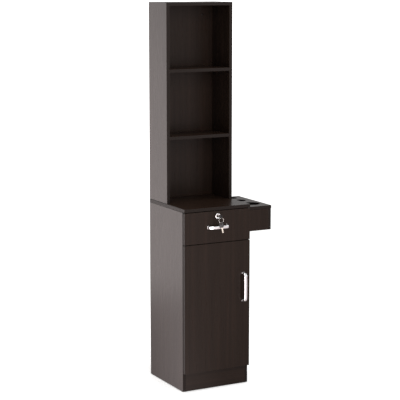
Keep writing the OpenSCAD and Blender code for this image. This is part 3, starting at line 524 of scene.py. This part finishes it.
holeCaps = {
    "spacing": 200,  # mm between the two
    "drop": 45,  # mm under the top panel
    # radius and mm out of the back panel: stem, then head
    "profile": [(0, -6), (2.7, -6), (2.7, 0.02), (6, 0.02), (6, 0.5), (5.6, 1.0), (4.4, 1.45),
                (0, 1.6)],
    "segments": 32,
}
low, high = boxCorners("tower_back_panel")
capZ = boxCorners("tower_top_panel")[0].z - holeCaps["drop"] * mm
for side, label in ((-1, "Left"), (1, "Right")):
    spot = Vector(((low.x + high.x) / 2 + side * holeCaps["spacing"] / 2 * mm, low.y, capZ))
    piece = turned("wallHoleCap" + label, holeCaps["profile"], holeCaps["segments"], spot,
                   finishes["edgeBandAbs"])
    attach(piece, "station")


# key heads: the frame's two with softened edges

keyHeads = {
    "softening": 0.5,  # mm
    "softeningSteps": 3,
    "sharpFrom": 40,  # degrees, the edges that are softened
    "smoothAngle": 30,
}


def softenedHead(node, body):
    work = welded(node)
    sharp = [e for e in work.edges if len(e.link_faces) == 2
             and e.calc_face_angle(0) > math.radians(keyHeads["sharpFrom"])]
    bmesh.ops.bevel(work, geom=sharp, offset=keyHeads["softening"] * mm,
                    segments=keyHeads["softeningSteps"], profile=0.5, affect="EDGES",
                    clamp_overlap=True)
    bmesh.ops.triangulate(work, faces=[f for f in work.faces if len(f.verts) > 4])
    mesh = meshFrom(work, node + "Moulded", keyHeads["smoothAngle"])
    piece = objectFromMesh(node + "Moulded", mesh, [finishes["blackAbs"]])
    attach(piece, body)
    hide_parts(node)


softenedHead("key_head", "lock_key")
softenedHead("spare_key_head", "spare_key")


# split ring: almost two turns of flat wire, one behind the other

splitRing = {
    "meanRadius": 11.5,  # lengths in mm
    "wireWidth": 1.0,
    "wireHeight": 0.62,
    "wireCorner": 0.28,
    "cornerSteps": 3,
    "turnGap": 0.02,  # between the two turns
    "turns": 1.93,
    "startAngle": 200,  # degrees
    "steepness": 14,  # how short the step from one turn to the other is
    "sections": 180,
    "smoothAngle": 40,
}


def splitRingPiece():
    low, high = boxCorners("key_ring")
    centre = (low + high) / 2
    work = bmesh.new()
    section = roundedSection(splitRing["wireWidth"], splitRing["wireHeight"],
                             splitRing["wireCorner"], splitRing["cornerSteps"])
    loops = []
    for k in range(splitRing["sections"] + 1):
        share = k / splitRing["sections"]
        angle = math.radians(splitRing["startAngle"]) + 2 * math.pi * splitRing["turns"] * share
        # the wire steps over once, half way
        depth = 0.5 * math.tanh((share - 0.5) * splitRing["steepness"])
        depth *= splitRing["wireHeight"] + splitRing["turnGap"]
        out = Vector((math.cos(angle), 0, math.sin(angle)))
        loops.append([work.verts.new(centre + (out * (splitRing["meanRadius"] + u)
                                               + Vector((0, depth + v, 0))) * mm)
                      for u, v in section])
    bridged(work, loops)
    bmesh.ops.recalc_face_normals(work, faces=work.faces)
    mesh = meshFrom(work, "splitKeyRing", splitRing["smoothAngle"])
    piece = objectFromMesh("splitKeyRing", mesh, [finishes["brightNickel"]])
    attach(piece, "key_ring_body")
    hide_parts("key_ring")


splitRingPiece()
print("lock and keys made")


# wood screws, one tree for all of them

screws = {
    "headRadius": 3.4,  # lengths in mm
    "headTop": 0.72,  # of the head's radius
    "headHeight": 1.3,
    "headSides": 20,
    "recessLength": 3.4,  # each bar of the cross, sunk by half the head's height
    "recessWidth": 0.8,
    "smoothAngle": 30,
}


def screwTree():
    tree = bpy.data.node_groups.new("crossHeadScrews", "GeometryNodeTree")
    sockets = tree.interface
    sockets.new_socket("Geometry", in_out="INPUT", socket_type="NodeSocketGeometry")
    for label, key in (("Head Radius", "headRadius"), ("Head Height", "headHeight"),
                       ("Recess Width", "recessWidth"), ("Recess Length", "recessLength")):
        socket = sockets.new_socket(label, in_out="INPUT", socket_type="NodeSocketFloat")
        socket.default_value = screws[key] * mm
    sockets.new_socket("Material", in_out="INPUT", socket_type="NodeSocketMaterial")
    sockets.new_socket("Geometry", in_out="OUTPUT", socket_type="NodeSocketGeometry")
    start = addNode(tree, "NodeGroupInput")
    topRadius = addNode(tree, "ShaderNodeMath", {"operation": "MULTIPLY", 1: screws["headTop"]},
                        {0: start.outputs["Head Radius"]})
    head = addNode(tree, "GeometryNodeMeshCone",
                   {"Vertices": screws["headSides"], "Side Segments": 1},
                   {"Depth": start.outputs["Head Height"],
                    "Radius Bottom": start.outputs["Head Radius"],
                    "Radius Top": topRadius.outputs[0]})
    cross = addNode(tree, "GeometryNodeMeshBoolean", {"operation": "DIFFERENCE", "solver": "EXACT"},
                    {"Mesh 1": head.outputs["Mesh"]})
    for first, second in (("Recess Length", "Recess Width"), ("Recess Width", "Recess Length")):
        size = addNode(tree, "ShaderNodeCombineXYZ",
                       links={"X": start.outputs[first], "Y": start.outputs[second],
                              "Z": start.outputs["Head Height"]})
        bar = addNode(tree, "GeometryNodeMeshCube", links={"Size": size.outputs[0]})
        lift = addNode(tree, "ShaderNodeCombineXYZ", links={"Z": start.outputs["Head Height"]})
        raised = addNode(tree, "GeometryNodeTransform",
                         links={"Geometry": bar.outputs["Mesh"], "Translation": lift.outputs[0]})
        tree.links.new(raised.outputs["Geometry"], cross.inputs["Mesh 2"])
    facing = addNode(tree, "GeometryNodeInputNamedAttribute",
                     {"data_type": "FLOAT_VECTOR", "Name": "facing"})
    turn = addNode(tree, "FunctionNodeAlignRotationToVector", {"axis": "Z"},
                   {"Vector": facing.outputs["Attribute"]})
    placed = addNode(tree, "GeometryNodeInstanceOnPoints",
                     links={"Points": start.outputs["Geometry"], "Instance": cross.outputs["Mesh"],
                            "Rotation": turn.outputs["Rotation"]})
    solid = addNode(tree, "GeometryNodeRealizeInstances",
                    links={"Geometry": placed.outputs["Instances"]})
    painted = addNode(tree, "GeometryNodeSetMaterial",
                      links={"Geometry": solid.outputs["Geometry"],
                             "Material": start.outputs["Material"]})
    addNode(tree, "NodeGroupOutput", links={"Geometry": painted.outputs["Geometry"]})
    return tree


def screwSet(name, spots, body, tree, headRadius):
    # spots holds (point in the frame, direction that the head faces)
    mesh = bpy.data.meshes.new(name + "Points")
    mesh.from_pydata([tuple(point) for point, direction in spots], [], [])
    facing = mesh.attributes.new("facing", "FLOAT_VECTOR", "POINT")
    for k, (point, direction) in enumerate(spots):
        facing.data[k].vector = direction
    holder = objectFromMesh(name + "Points", mesh, [])
    modifier = holder.modifiers.new("screws", "NODES")
    modifier.node_group = tree
    for item in tree.interface.items_tree:
        if item.item_type == "SOCKET" and item.in_out == "INPUT":
            if item.name == "Material":
                modifier[item.identifier] = finishes["zincPlatedSteel"]
            if item.name == "Head Radius":
                modifier[item.identifier] = headRadius * mm
    depsgraph = bpy.context.evaluated_depsgraph_get()
    result = bpy.data.meshes.new_from_object(holder.evaluated_get(depsgraph), depsgraph=depsgraph)
    holder.modifiers.remove(modifier)
    bpy.data.objects.remove(holder)
    result.name = name
    smoothByAngle(result, screws["smoothAngle"])
    result.materials.clear()  # the tree leaves an empty slot before the metal
    piece = objectFromMesh(name, result, [finishes["zincPlatedSteel"]])
    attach(piece, body)


# where the heads sit, in mm within the box of the fitting that they hold: back from its front,
# fromEnd from its ends, apart from its middle, side from its sides, drop from its top and wall
# under the face that they sit on
screwPlaces = {
    "cabinetRunner": {"back": (60, 145, 260), "drop": 5, "wall": 1.2},
    "hingePlate": {"fromEnd": 25, "back": 17, "apart": 16, "wall": 2},
    "hingeArm": {"fromEnd": (30, 14)},
    "lockKeeper": {"back": 15, "apart": 14, "wall": 1.6},
    "magneticCatch": {"back": 9.5, "fromEnd": 3.5, "wall": 2.5},
    "hingeCup": {"apart": 24, "headRadius": 3.0},
    "drawerRunner": {"back": (40, 150, 260), "side": 18.5, "headRadius": 2.8},
}
rightFace, leftFace, towardsWall, down = (1, 0, 0), (-1, 0, 0), (0, 1, 0), (0, 0, -1)
tree = screwTree()

stationSpots = []
places = screwPlaces["cabinetRunner"]
low, high = boxCorners("cabinet_runners")
z = high.z - places["drop"] * mm
for back in places["back"]:
    y = low.y + back * mm
    stationSpots += [(Vector((low.x + places["wall"] * mm, y, z)), rightFace),
                     (Vector((high.x - places["wall"] * mm, y, z)), leftFace)]
places = screwPlaces["hingePlate"]
low, high = boxCorners("hinge_plates")
armEnd = boxCorners("hinge_arms")[1]
hingeHeights = (low.z + places["fromEnd"] * mm, high.z - places["fromEnd"] * mm)
for z in hingeHeights:
    for side in (-1, 1):
        stationSpots.append((Vector((low.x + places["wall"] * mm, low.y + places["back"] * mm,
                                     z + side * places["apart"] * mm)), rightFace))
    for fromEnd in screwPlaces["hingeArm"]["fromEnd"]:
        stationSpots.append((Vector((armEnd.x, armEnd.y - fromEnd * mm, z)), rightFace))
places = screwPlaces["lockKeeper"]
low, high = boxCorners("lock_keeper")
for side in (-1, 1):
    stationSpots.append((Vector(((low.x + high.x) / 2 + side * places["apart"] * mm,
                                 low.y + places["back"] * mm, high.z - places["wall"] * mm)), down))
places = screwPlaces["magneticCatch"]
low, high = boxCorners("magnetic_catch")
y, z = low.y + places["back"] * mm, high.z - places["wall"] * mm
for x in (low.x + places["fromEnd"] * mm, high.x - places["fromEnd"] * mm):
    stationSpots.append((Vector((x, y, z)), down))
screwSet("stationScrews", stationSpots, "station", tree, screws["headRadius"])

doorSpots = []
places = screwPlaces["hingeCup"]
low, high = boxCorners("hinge_cups")
for z in hingeHeights:
    for side in (-1, 1):
        doorSpots.append((Vector(((low.x + high.x) / 2, high.y, z + side * places["apart"] * mm)),
                          towardsWall))
low, high = boxCorners("catch_plate")
doorSpots.append((Vector(((low.x + high.x) / 2, high.y, (low.z + high.z) / 2)), towardsWall))
screwSet("doorScrews", doorSpots, "door", tree, places["headRadius"])

drawerSpots = []
places = screwPlaces["drawerRunner"]
low, high = boxCorners("drawer_runners")
for back in places["back"]:
    for x in (low.x + places["side"] * mm, high.x - places["side"] * mm):
        drawerSpots.append((Vector((x, low.y + back * mm, low.z)), down))
screwSet("drawerScrews", drawerSpots, "drawer", tree, places["headRadius"])
print("screws set")


# stage, lights and camera; lengths here are in metres

studio = {
    "floorSize": 300,
    "floorDrop": 0.0002,  # under the glides, so that nothing lies in one plane
    "floorShades": [(0.3, "#f3f3f2"), (0.7, "#f6f6f5")],
    "mottle": 3.0,  # noise features for each metre
    "mottleDetail": 2.0,
    "glow": (0.34, 1.3),  # near the object and far from it, where the camera sees plain white
    "glowReach": (2.5, 9.0),
    "floorInGloss": (0.8, 3.0),  # to the right and back of the object, and to its left and front
    "floorInGlossSlope": (-5.7, -2.4, 0),  # how fast it grows for each metre
    "floorInGlossStart": 0.3,  # on that slope, where it starts to grow
    "floorInGlossTint": "#fff1f0",
    "worldInGloss": 0.62,  # strength of the white around, in reflections
    "worldPlain": 0.45,  # and as light on the object
}


def stageFloor():
    # matt pale board that takes the shadow; the camera sees it brighter with distance, up to white
    mesh = bpy.data.meshes.new("studioFloor")
    half = studio["floorSize"] / 2
    corners = [(-half, -half, 0), (half, -half, 0), (half, half, 0), (-half, half, 0)]
    mesh.from_pydata(corners, [], [(0, 1, 2, 3)])
    material, tree = newMaterial("paleStudioFloor")
    place = addNode(tree, "ShaderNodeTexCoord").outputs["Object"]
    noise = addNode(tree, "ShaderNodeTexNoise",
                    {"Scale": studio["mottle"], "Detail": studio["mottleDetail"]},
                    {"Vector": place})
    colour = addNode(tree, "ShaderNodeValToRGB", {"Stops": studio["floorShades"]},
                     {"Fac": noise.outputs["Fac"]})
    matt = addNode(tree, "ShaderNodeBsdfDiffuse", links={"Color": colour.outputs["Color"]})
    path = addNode(tree, "ShaderNodeLightPath")
    away = addNode(tree, "ShaderNodeVectorMath", {"operation": "LENGTH"}, {"Vector": place})
    growing = addNode(tree, "ShaderNodeMapRange",
                      {"From Min": studio["glowReach"][0], "From Max": studio["glowReach"][1],
                       "To Min": studio["glow"][0], "To Max": studio["glow"][1]},
                      {"Value": away.outputs["Value"]})
    strength = addNode(tree, "ShaderNodeMath", {"operation": "MULTIPLY"},
                       {0: path.outputs["Is Camera Ray"], 1: growing.outputs["Result"]})
    glow = addNode(tree, "ShaderNodeEmission", {"Color": (1, 1, 1, 1)},
                   {"Strength": strength.outputs[0]})
    both = addNode(tree, "ShaderNodeAddShader", links={0: matt.outputs[0], 1: glow.outputs[0]})
    across = addNode(tree, "ShaderNodeVectorMath",
                     {"operation": "DOT_PRODUCT", 1: studio["floorInGlossSlope"]}, {0: place})
    dimmer, brighter = studio["floorInGloss"]
    growsFrom = studio["floorInGlossStart"]
    mirrored = addNode(tree, "ShaderNodeMapRange",
                       {"From Min": growsFrom, "From Max": brighter - dimmer + growsFrom,
                        "To Min": dimmer, "To Max": brighter}, {"Value": across.outputs["Value"]})
    dim = addNode(tree, "ShaderNodeEmission", {"Color": hexToLinear(studio["floorInGlossTint"])},
                  {"Strength": mirrored.outputs["Result"]})
    split = addNode(tree, "ShaderNodeMixShader",
                    links={0: path.outputs["Is Glossy Ray"], 1: both.outputs[0], 2: dim.outputs[0]})
    addNode(tree, "ShaderNodeOutputMaterial", links={"Surface": split.outputs[0]})
    floor = objectFromMesh("studioFloor", mesh, [material])
    floor.location.z = -studio["floorDrop"]


stageFloor()

lamps = {
    "leftSoftbox": {"place": (-0.95, 1.45, 1.46), "aim": (-0.23, 0.05, 1.46), "size": (1.6, 2.84),
                    "watts": 19.5, "tint": "#fff9f8"},
    "lowLeftCard": {"place": (-2.9, -1.0, 0.9), "aim": (-0.1, -0.15, 0.7), "size": (2.4, 1.6),
                    "watts": 24, "tint": "#fff7f6"},
    "frontSoftbox": {"place": (-0.6, -4.8, 3.0), "aim": (0, 0, 0.9), "size": (3.0, 2.4),
                     "watts": 104, "tint": "#ffffff"},
    "rightSoftbox": {"place": (3.8, -2.2, 2.2), "aim": (0, 0, 0.9), "size": (1.8, 2.6),
                     "watts": 50, "tint": "#ffffff"},
    "topSoftbox": {"place": (0.2, -0.4, 4.4), "aim": (0, 0, 0.8), "size": (2.6, 2.6),
                   "watts": 90, "tint": "#ffffff"},
}
for name, given in lamps.items():
    light = bpy.data.lights.new(name, "AREA")
    light.shape, light.energy = "RECTANGLE", given["watts"]
    light.size, light.size_y = given["size"]
    light.color = hexToLinear(given["tint"])[:3]
    lamp = bpy.data.objects.new(name, light)
    bpy.context.scene.collection.objects.link(lamp)
    lamp.location = given["place"]
    lamp.visible_camera = False
    lamp.visible_diffuse = not name.endswith("Card")  # a card is there for reflections alone
    aim = Vector(given["aim"]) - Vector(given["place"])
    lamp.rotation_euler = aim.to_track_quat("-Z", "Y").to_euler()

world = bpy.data.worlds.new("whiteStudio")
bpy.context.scene.world = world
world.use_nodes = True
tree = world.node_tree
for old in list(tree.nodes):
    tree.nodes.remove(old)
path = addNode(tree, "ShaderNodeLightPath")
seen = addNode(tree, "ShaderNodeMath", {"operation": "MAXIMUM"},
               {0: path.outputs["Is Camera Ray"], 1: path.outputs["Is Transmission Ray"]})
plain = addNode(tree, "ShaderNodeBackground",
                {"Color": (1, 1, 1, 1), "Strength": studio["worldPlain"]})
mirrored = addNode(tree, "ShaderNodeBackground",
                   {"Color": (1, 1, 1, 1), "Strength": studio["worldInGloss"]})
white = addNode(tree, "ShaderNodeBackground", {"Color": (1, 1, 1, 1), "Strength": 1.0})
first = addNode(tree, "ShaderNodeMixShader",
                links={0: path.outputs["Is Glossy Ray"], 1: plain.outputs[0],
                       2: mirrored.outputs[0]})
second = addNode(tree, "ShaderNodeMixShader",
                 links={0: seen.outputs[0], 1: first.outputs[0], 2: white.outputs[0]})
addNode(tree, "ShaderNodeOutputWorld", links={"Surface": second.outputs[0]})

shot = {
    "place": (-2715, -5227, 1856),  # mm from the base's left face, the fronts' faces and the floor
    "turn": 28.12,  # degrees to the right of straight on
    "dip": 9.33,  # degrees below level
    "focal": 1350,  # in pixels of the frame
    "frame": 400,  # pixels
    "sensor": 36,  # mm
    "clip": (0.05, 400),  # m
}
baseCorner = Vector((boxCorners("base_left_panel")[0].x, frontFace, 0))
camera = bpy.data.objects.new("photoCamera", bpy.data.cameras.new("photoCamera"))
bpy.context.scene.collection.objects.link(camera)
camera.location = baseCorner + Vector(shot["place"]) * mm
turn, dip = math.radians(shot["turn"]), math.radians(shot["dip"])
looking = Vector((math.sin(turn) * math.cos(dip), math.cos(turn) * math.cos(dip), -math.sin(dip)))
camera.rotation_euler = looking.to_track_quat("-Z", "Y").to_euler()
camera.data.sensor_width = shot["sensor"]
camera.data.lens = shot["focal"] * shot["sensor"] / shot["frame"]
camera.data.clip_start, camera.data.clip_end = shot["clip"]
bpy.context.scene.camera = camera
bpy.context.scene.view_settings.view_transform = "Standard"
print("stage ready")
